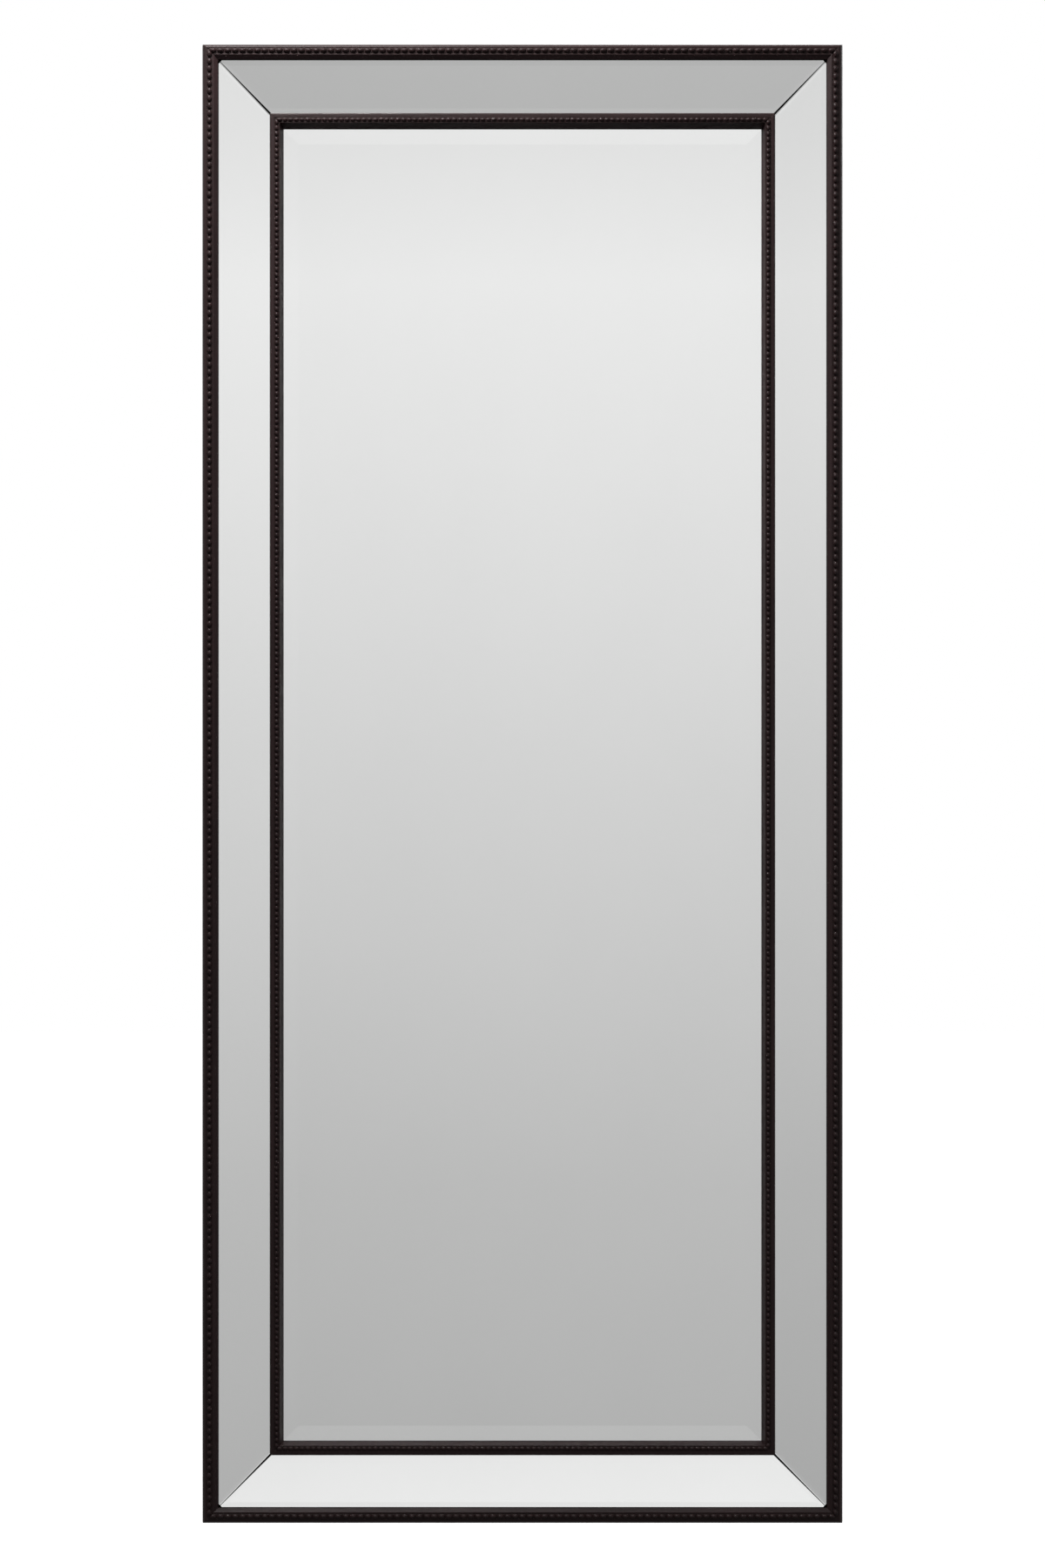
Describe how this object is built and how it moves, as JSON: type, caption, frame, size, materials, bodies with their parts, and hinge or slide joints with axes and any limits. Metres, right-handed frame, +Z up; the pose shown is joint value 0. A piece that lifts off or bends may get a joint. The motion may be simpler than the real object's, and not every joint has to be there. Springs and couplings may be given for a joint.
{
  "type": "full-length wall mirror",
  "caption": "Full-length wall mirror: bevelled centre glass in a dished border of bevelled mirror strips, framed by beaded dark mouldings, hung on two rings.",
  "frame": {"origin": "on the wall plane that the bumpers touch, midway between the hinge lines of the two hanging rings", "axes": "+Z up the mirror, +Y into the wall, so the glass faces -Y; +X to the right seen from the front"},
  "size_m": [0.78, 0.047, 1.8],
  "materials": {
    "moulding_wood": "espresso stain under satin lacquer",
    "beading": "espresso stain under satin lacquer, rubbed on the crowns",
    "mirror_glass": "silvered, polished bevels",
    "carrier_softwood": "planed, unfinished",
    "panel_board": "smooth hardboard, unfinished",
    "foam": "closed-cell foam",
    "block_rubber": "matt",
    "plated_steel": "zinc plated",
    "fastener_steel": "yellow zinc plated",
    "bumper_rubber": "matt"
  },
  "bodies": {
    "frame": {"back_panel": "panel_board", "border_mirror_bottom": "mirror_glass", "border_mirror_left": "mirror_glass", "border_mirror_right": "mirror_glass", "border_mirror_top": "mirror_glass", "carrier_bottom": "carrier_softwood", "carrier_left": "carrier_softwood", "carrier_right": "carrier_softwood", "carrier_top": "carrier_softwood", "centre_mirror": "mirror_glass", "foam_tapes": "foam", "hanger_screws": "fastener_steel", "hanger_strap_left": "plated_steel", "hanger_strap_right": "plated_steel", "inner_beading_bottom": "beading", "inner_beading_left": "beading", "inner_beading_right": "beading", "inner_beading_top": "beading", "inner_rail_bottom": "moulding_wood", "inner_rail_left": "moulding_wood", "inner_rail_right": "moulding_wood", "inner_rail_top": "moulding_wood", "mitre_nails": "fastener_steel", "outer_beading_bottom": "beading", "outer_beading_left": "beading", "outer_beading_right": "beading", "outer_beading_top": "beading", "outer_rail_bottom": "moulding_wood", "outer_rail_left": "moulding_wood", "outer_rail_right": "moulding_wood", "outer_rail_top": "moulding_wood", "panel_screws": "fastener_steel", "setting_blocks": "block_rubber", "wall_bumpers": "bumper_rubber"},
    "ring_left": {"hanger_ring_left": "plated_steel"},
    "ring_right": {"hanger_ring_right": "plated_steel"}
  },
  "joints": [
    {"name": "ring_left_hinge", "type": "hinge", "parent": "frame", "child": "ring_left", "pos_m": [-0.34, -0.00495, 0], "axis": [1, 0, 0], "range_deg": [0, 175]},
    {"name": "ring_right_hinge", "type": "hinge", "parent": "frame", "child": "ring_right", "pos_m": [0.34, -0.00495, 0], "axis": [1, 0, 0], "range_deg": [0, 175]}
  ]
}
